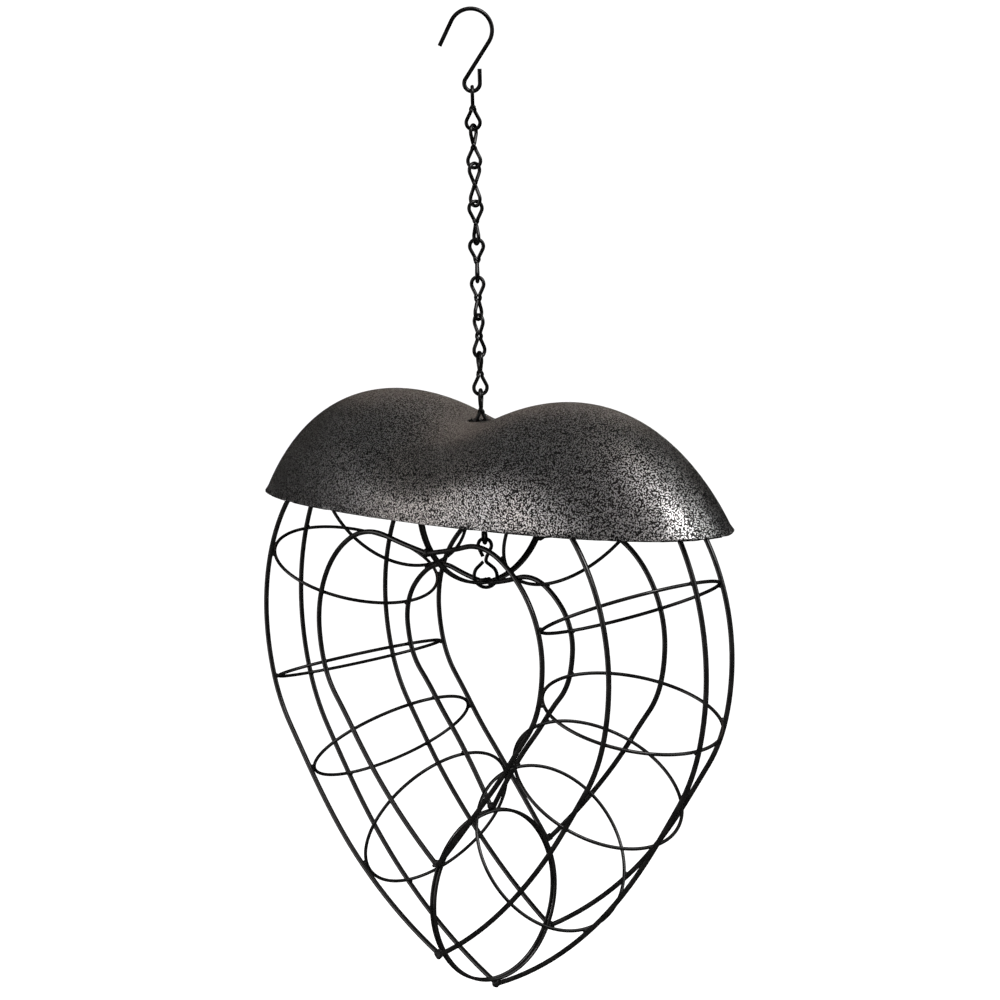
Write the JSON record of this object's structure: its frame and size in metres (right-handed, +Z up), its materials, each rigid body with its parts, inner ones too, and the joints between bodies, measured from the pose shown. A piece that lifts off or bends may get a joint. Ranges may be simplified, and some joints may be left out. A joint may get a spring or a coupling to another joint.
{
  "type": "suet feeder",
  "caption": "Hanging bird feeder for suet balls: open heart-shaped wire cage under a domed sheet lid, on a chain of twisted loop links with an S hook.",
  "frame": {"origin": "the point inside the top bend of the hook, under the wire, where the feeder hangs from a branch or bracket", "axes": "+Z up along the chain; the heart lies in the XZ plane, its arms out along +X and -X; -Y is the side nearer the camera in the picture"},
  "size_m": [0.2784, 0.094, 0.4239],
  "materials": {
    "hanging_wire": "satin black coat",
    "cage_wire": "satin black powder coat",
    "weld": "satin black powder coat over weld metal",
    "lid_sheet": "hammered black and silver paint"
  },
  "bodies": {
    "hook": {"s_hook": "hanging_wire"},
    "link_01": {"chain_link_01": "hanging_wire"},
    "link_02": {"chain_link_02": "hanging_wire"},
    "link_03": {"chain_link_03": "hanging_wire"},
    "link_04": {"chain_link_04": "hanging_wire"},
    "link_05": {"chain_link_05": "hanging_wire"},
    "link_06": {"chain_link_06": "hanging_wire"},
    "link_07": {"chain_link_07": "hanging_wire"},
    "link_08": {"chain_link_08": "hanging_wire"},
    "link_09": {"chain_link_09": "hanging_wire"},
    "link_10": {"chain_link_10": "hanging_wire"},
    "link_11": {"chain_link_11": "hanging_wire"},
    "link_12": {"chain_link_12": "hanging_wire"},
    "end_link": {"end_link": "hanging_wire"},
    "cage": {"right_neck_hoop": "cage_wire", "right_hoop_1": "cage_wire", "right_hoop_2": "cage_wire", "right_hoop_3": "cage_wire", "right_hoop_4": "cage_wire", "right_hoop_5": "cage_wire", "right_tip_hoop": "cage_wire", "right_outer_wire": "cage_wire", "right_back_outer_wire": "cage_wire", "right_back_inner_wire": "cage_wire", "right_inner_wire": "cage_wire", "right_front_inner_wire": "cage_wire", "right_front_outer_wire": "cage_wire", "left_neck_hoop": "cage_wire", "left_hoop_1": "cage_wire", "left_hoop_2": "cage_wire", "left_hoop_3": "cage_wire", "left_hoop_4": "cage_wire", "left_hoop_5": "cage_wire", "left_tip_hoop": "cage_wire", "left_outer_wire": "cage_wire", "left_back_outer_wire": "cage_wire", "left_back_inner_wire": "cage_wire", "left_inner_wire": "cage_wire", "left_front_inner_wire": "cage_wire", "left_front_outer_wire": "cage_wire", "neck_welds": "weld", "tip_welds": "weld"},
    "lid": {"lid": "lid_sheet"}
  },
  "joints": [
    {"name": "hook_to_link_01", "type": "hinge", "parent": "hook", "child": "link_01", "pos_m": [0, 0, -0.0334], "axis": [0.6428, 0.766, 0], "range_deg": [-30, 30]},
    {"name": "link_01_to_link_02", "type": "hinge", "parent": "link_01", "child": "link_02", "pos_m": [0, 0, -0.0475], "axis": [0.4462, -0.8949, 0], "range_deg": [-30, 30]},
    {"name": "link_02_to_link_03", "type": "hinge", "parent": "link_02", "child": "link_03", "pos_m": [0, 0, -0.0654], "axis": [-0.8949, -0.4462, 0], "range_deg": [-30, 30]},
    {"name": "link_03_to_link_04", "type": "hinge", "parent": "link_03", "child": "link_04", "pos_m": [0, 0, -0.0795], "axis": [0.3502, 0.9367, 0], "range_deg": [-30, 30]},
    {"name": "link_04_to_link_05", "type": "hinge", "parent": "link_04", "child": "link_05", "pos_m": [0, 0, -0.0974], "axis": [0.9367, -0.3502, 0], "range_deg": [-30, 30]},
    {"name": "link_05_to_link_06", "type": "hinge", "parent": "link_05", "child": "link_06", "pos_m": [0, 0, -0.1115], "axis": [-0.9239, -0.3827, 0], "range_deg": [-30, 30]},
    {"name": "link_06_to_link_07", "type": "hinge", "parent": "link_06", "child": "link_07", "pos_m": [0, 0, -0.1294], "axis": [0.3827, -0.9239, 0], "range_deg": [-30, 30]},
    {"name": "link_07_to_link_08", "type": "hinge", "parent": "link_07", "child": "link_08", "pos_m": [0, 0, -0.1435], "axis": [-0.91, 0.4147, 0], "range_deg": [-30, 30]},
    {"name": "link_08_to_link_09", "type": "hinge", "parent": "link_08", "child": "link_09", "pos_m": [0, 0, -0.1614], "axis": [0.4147, 0.91, 0], "range_deg": [-30, 30]},
    {"name": "link_09_to_link_10", "type": "hinge", "parent": "link_09", "child": "link_10", "pos_m": [0, 0, -0.1755], "axis": [0.3173, -0.9483, 0], "range_deg": [-12, 12]},
    {"name": "link_10_to_link_11", "type": "hinge", "parent": "link_10", "child": "link_11", "pos_m": [0, 0, -0.1934], "axis": [-0.9483, -0.3173, 0], "range_deg": [-4, 4]},
    {"name": "link_11_to_link_12", "type": "hinge", "parent": "link_11", "child": "link_12", "pos_m": [0, 0, -0.2075], "axis": [0.4772, 0.8788, 0], "range_deg": [-2.4, 2.4]},
    {"name": "link_12_to_end_link", "type": "hinge", "parent": "link_12", "child": "end_link", "pos_m": [0, 0, -0.2254], "axis": [0.8788, -0.4772, 0], "range_deg": [-1.7, 1.7]},
    {"name": "end_link_to_cage", "type": "hinge", "parent": "end_link", "child": "cage", "pos_m": [0, 0, -0.24465], "axis": [0.788, 0.6157, 0], "range_deg": [-1.3, 1.3]},
    {"name": "lid_slide", "type": "slide", "parent": "cage", "child": "lid", "axis": [0, 0, 1], "range_m": [0, 0.118]}
  ]
}
